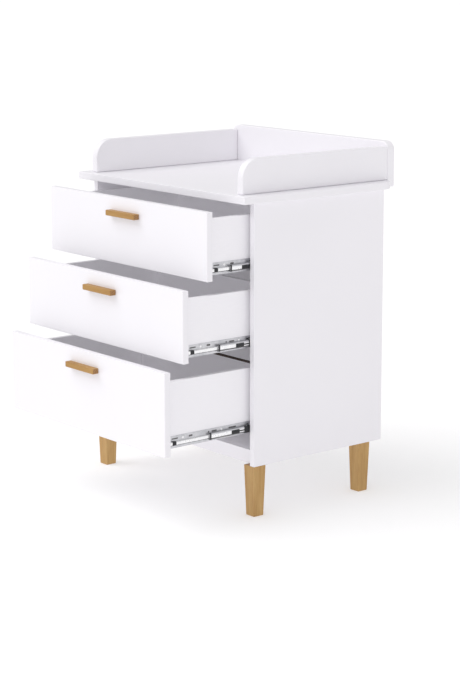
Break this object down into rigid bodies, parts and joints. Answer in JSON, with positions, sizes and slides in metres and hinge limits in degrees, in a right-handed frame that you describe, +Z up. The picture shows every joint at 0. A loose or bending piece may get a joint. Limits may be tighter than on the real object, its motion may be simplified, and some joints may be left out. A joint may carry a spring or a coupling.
{
  "type": "changing table",
  "caption": "White chest of drawers on tapered wooden legs, with an overhanging deck and a three-sided surround for a changing mat, drawers open on full-extension slides.",
  "frame": {"origin": "on the floor, under the middle of the bounding box of the piece as it stands with its drawers open", "axes": "+Z up, +Y to the back of the chest, +X to the right of someone standing in front of it"},
  "size_m": [0.8, 0.8976, 1.046],
  "materials": {
    "white_lacquer": "satin white lacquer on board",
    "drawer_foil": "matt white foil on particleboard",
    "white_hardboard": "painted hardboard, matt",
    "oiled_oak": "oiled oak with straight grain, satin",
    "zinc_steel": "zinc-plated rolled steel",
    "cage_plastic": "black moulded plastic"
  },
  "bodies": {
    "cabinet": {"side_panel_left": "white_lacquer", "side_panel_right": "white_lacquer", "front_bottom_rail": "white_lacquer", "bottom_panel": "white_lacquer", "base_rail_front": "white_lacquer", "base_rail_rear": "white_lacquer", "top_rear_rail": "white_lacquer", "back_panel": "white_hardboard", "deck_board": "white_lacquer", "surround_wall_left": "white_lacquer", "surround_wall_right": "white_lacquer", "surround_wall_back": "white_lacquer", "leg_front_left": "oiled_oak", "leg_front_right": "oiled_oak", "leg_rear_left": "oiled_oak", "leg_rear_right": "oiled_oak", "top_slide_cabinet_member_left": "zinc_steel", "top_slide_cabinet_member_right": "zinc_steel", "middle_slide_cabinet_member_left": "zinc_steel", "middle_slide_cabinet_member_right": "zinc_steel", "bottom_slide_cabinet_member_left": "zinc_steel", "bottom_slide_cabinet_member_right": "zinc_steel"},
    "top_drawer": {"top_drawer_front": "white_lacquer", "top_drawer_handle": "oiled_oak", "top_drawer_side_left": "drawer_foil", "top_drawer_side_right": "drawer_foil", "top_drawer_bottom": "white_hardboard", "top_drawer_back": "drawer_foil", "top_slide_drawer_member_left": "zinc_steel", "top_slide_drawer_member_right": "zinc_steel"},
    "top_slide_middle_members": {"top_slide_middle_member_left": "zinc_steel", "top_slide_middle_member_right": "zinc_steel"},
    "top_slide_ball_cages": {"top_slide_ball_cage_left": "cage_plastic", "top_slide_ball_cage_right": "cage_plastic"},
    "middle_drawer": {"middle_drawer_front": "white_lacquer", "middle_drawer_handle": "oiled_oak", "middle_drawer_side_left": "drawer_foil", "middle_drawer_side_right": "drawer_foil", "middle_drawer_bottom": "white_hardboard", "middle_drawer_back": "drawer_foil", "middle_slide_drawer_member_left": "zinc_steel", "middle_slide_drawer_member_right": "zinc_steel"},
    "middle_slide_middle_members": {"middle_slide_middle_member_left": "zinc_steel", "middle_slide_middle_member_right": "zinc_steel"},
    "middle_slide_ball_cages": {"middle_slide_ball_cage_left": "cage_plastic", "middle_slide_ball_cage_right": "cage_plastic"},
    "bottom_drawer": {"bottom_drawer_front": "white_lacquer", "bottom_drawer_handle": "oiled_oak", "bottom_drawer_side_left": "drawer_foil", "bottom_drawer_side_right": "drawer_foil", "bottom_drawer_bottom": "white_hardboard", "bottom_drawer_back": "drawer_foil", "bottom_slide_drawer_member_left": "zinc_steel", "bottom_slide_drawer_member_right": "zinc_steel"},
    "bottom_slide_middle_members": {"bottom_slide_middle_member_left": "zinc_steel", "bottom_slide_middle_member_right": "zinc_steel"},
    "bottom_slide_ball_cages": {"bottom_slide_ball_cage_left": "cage_plastic", "bottom_slide_ball_cage_right": "cage_plastic"}
  },
  "joints": [
    {"name": "top_drawer_slide", "type": "slide", "parent": "cabinet", "child": "top_drawer", "axis": [0, -1, 0], "range_m": [-0.143, 0.307]},
    {"name": "top_middle_member_slide", "type": "slide", "parent": "cabinet", "child": "top_slide_middle_members", "axis": [0, -1, 0], "range_m": [-0.0715, 0.1535]},
    {"name": "top_ball_cage_slide", "type": "slide", "parent": "cabinet", "child": "top_slide_ball_cages", "axis": [0, -1, 0], "range_m": [-0.10725, 0.23025]},
    {"name": "middle_drawer_slide", "type": "slide", "parent": "cabinet", "child": "middle_drawer", "axis": [0, -1, 0], "range_m": [-0.228, 0.222]},
    {"name": "middle_middle_member_slide", "type": "slide", "parent": "cabinet", "child": "middle_slide_middle_members", "axis": [0, -1, 0], "range_m": [-0.114, 0.111]},
    {"name": "middle_ball_cage_slide", "type": "slide", "parent": "cabinet", "child": "middle_slide_ball_cages", "axis": [0, -1, 0], "range_m": [-0.171, 0.1665]},
    {"name": "bottom_drawer_slide", "type": "slide", "parent": "cabinet", "child": "bottom_drawer", "axis": [0, -1, 0], "range_m": [-0.292, 0.158]},
    {"name": "bottom_middle_member_slide", "type": "slide", "parent": "cabinet", "child": "bottom_slide_middle_members", "axis": [0, -1, 0], "range_m": [-0.146, 0.079]},
    {"name": "bottom_ball_cage_slide", "type": "slide", "parent": "cabinet", "child": "bottom_slide_ball_cages", "axis": [0, -1, 0], "range_m": [-0.219, 0.1185]}
  ],
  "couplings": [
    {"joint": "top_middle_member_slide", "follows": "top_drawer_slide", "ratio": 0.5},
    {"joint": "top_ball_cage_slide", "follows": "top_drawer_slide", "ratio": 0.75},
    {"joint": "middle_middle_member_slide", "follows": "middle_drawer_slide", "ratio": 0.5},
    {"joint": "middle_ball_cage_slide", "follows": "middle_drawer_slide", "ratio": 0.75},
    {"joint": "bottom_middle_member_slide", "follows": "bottom_drawer_slide", "ratio": 0.5},
    {"joint": "bottom_ball_cage_slide", "follows": "bottom_drawer_slide", "ratio": 0.75}
  ]
}
